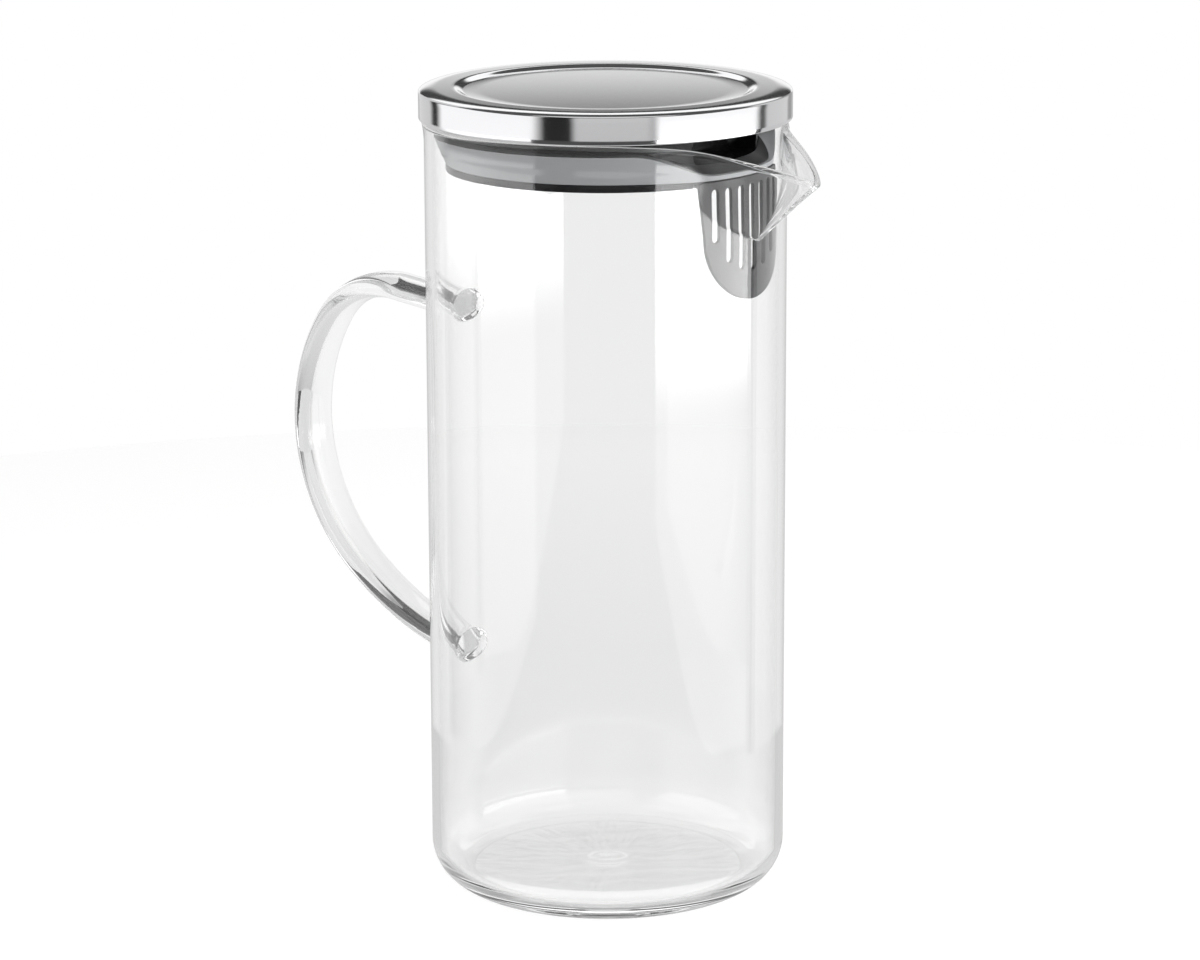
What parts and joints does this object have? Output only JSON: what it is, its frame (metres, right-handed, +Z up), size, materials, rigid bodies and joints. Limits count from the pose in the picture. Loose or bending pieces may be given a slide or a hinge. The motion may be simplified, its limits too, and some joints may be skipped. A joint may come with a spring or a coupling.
{
  "type": "glass pitcher",
  "caption": "Tall cylindrical glass pitcher with a drawn spout, a flat glass handle and a lift-off steel lid with a sealed plug and strainer.",
  "frame": {"origin": "centre of the flat resting face under the pitcher, on the axis of the glass", "axes": "+Z up along the axis of the glass, +X towards the spout, -X towards the handle"},
  "size_m": [0.1845, 0.108, 0.2385],
  "materials": {
    "glass": "clear blown borosilicate",
    "steel": "fine satin, nearly polished",
    "plug_plastic": "black, slightly glossy",
    "silicone": "light grey, smooth",
    "strainer_plastic": "dark grey, slightly glossy"
  },
  "bodies": {
    "glass": {"glass_body": "glass", "glass_handle": "glass"},
    "cap": {"lid_cap": "steel"},
    "insert": {"lid_plug": "plug_plastic", "seal_ring": "silicone", "strainer": "strainer_plastic"}
  },
  "joints": [
    {"name": "lid_lift", "type": "slide", "parent": "glass", "child": "cap", "axis": [0, 0, 1], "range_m": [0, 0.06]},
    {"name": "lid_turn", "type": "hinge", "parent": "cap", "child": "insert", "pos_m": [0, 0, 0.2296], "axis": [0, 0, 1], "continuous": true}
  ]
}
